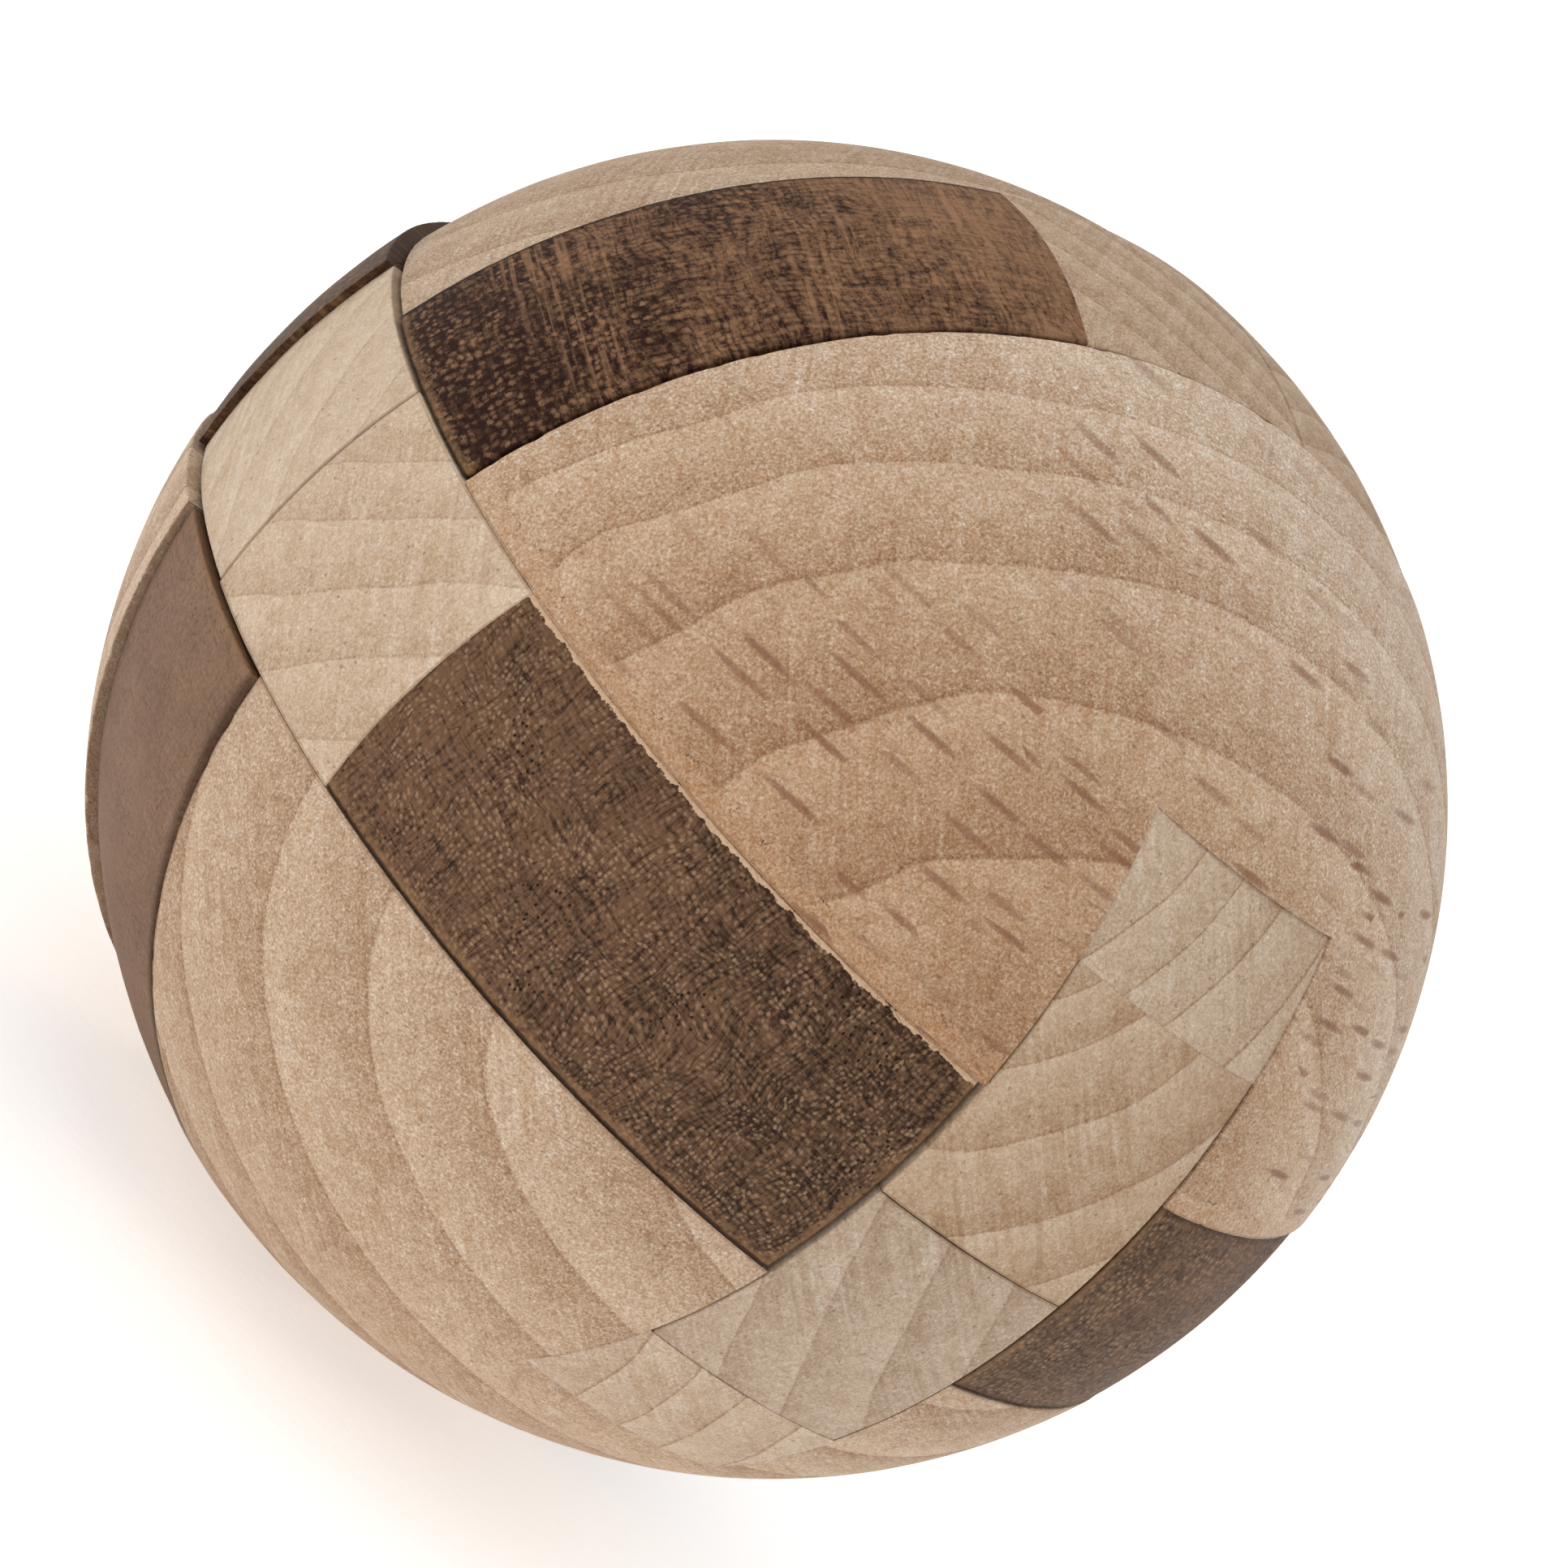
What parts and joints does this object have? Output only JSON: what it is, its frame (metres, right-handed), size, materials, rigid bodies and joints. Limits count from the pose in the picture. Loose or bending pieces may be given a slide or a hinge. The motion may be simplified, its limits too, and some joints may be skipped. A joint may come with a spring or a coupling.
{
  "type": "wooden burr puzzle ball",
  "caption": "Ball-shaped wooden burr puzzle of interlocked pieces, each glued up from pale and dark hardwood blocks, which slide outwards together to come apart.",
  "frame": {"origin": "centre of the ball", "axes": "+Z along the upper piece's way out, +X along the front and rear sticks, +Y from front to rear along the upper and lower sticks"},
  "size_m": [0.06, 0.06, 0.06],
  "materials": {
    "stick_wood": "fine sanded, unfinished pale beech",
    "bar_wood": "fine sanded, unfinished beech with ray flecks",
    "bridge_wood": "fine sanded, unfinished pale beech",
    "dark_wood": "fine sanded dark brown hardwood, open pores"
  },
  "bodies": {
    "lower_piece": {"lower_stick": "stick_wood", "lower_front_bridge": "bridge_wood", "lower_rear_bridge": "bridge_wood", "lower_front_bar": "bar_wood", "lower_rear_bar": "bar_wood"},
    "upper_piece": {"upper_stick": "stick_wood", "upper_front_bridge": "bridge_wood", "upper_rear_bridge": "bridge_wood", "upper_front_bar": "bar_wood", "upper_rear_bar": "bar_wood"},
    "front_piece": {"front_stick": "stick_wood", "front_left_block": "dark_wood", "front_right_block": "dark_wood"},
    "rear_piece": {"rear_stick": "stick_wood", "rear_left_block": "dark_wood", "rear_right_block": "dark_wood"},
    "left_piece": {"left_stick": "stick_wood", "left_top_block": "dark_wood", "left_bottom_block": "dark_wood"},
    "right_piece": {"right_stick": "stick_wood", "right_top_block": "dark_wood", "right_bottom_block": "dark_wood"}
  },
  "joints": [
    {"name": "upper_slide", "type": "slide", "parent": "lower_piece", "child": "upper_piece", "axis": [0, 0, 1], "range_m": [0, 0.024]},
    {"name": "front_slide", "type": "slide", "parent": "lower_piece", "child": "front_piece", "axis": [0, -0.7071, 0.7071], "range_m": [0, 0.017]},
    {"name": "rear_slide", "type": "slide", "parent": "lower_piece", "child": "rear_piece", "axis": [0, 0.7071, 0.7071], "range_m": [0, 0.017]},
    {"name": "left_slide", "type": "slide", "parent": "lower_piece", "child": "left_piece", "axis": [-0.7071, 0, 0.7071], "range_m": [0, 0.017]},
    {"name": "right_slide", "type": "slide", "parent": "lower_piece", "child": "right_piece", "axis": [0.7071, 0, 0.7071], "range_m": [0, 0.017]}
  ],
  "couplings": [
    {"joint": "front_slide", "follows": "upper_slide", "ratio": 0.70711},
    {"joint": "rear_slide", "follows": "upper_slide", "ratio": 0.70711},
    {"joint": "left_slide", "follows": "upper_slide", "ratio": 0.70711},
    {"joint": "right_slide", "follows": "upper_slide", "ratio": 0.70711}
  ]
}
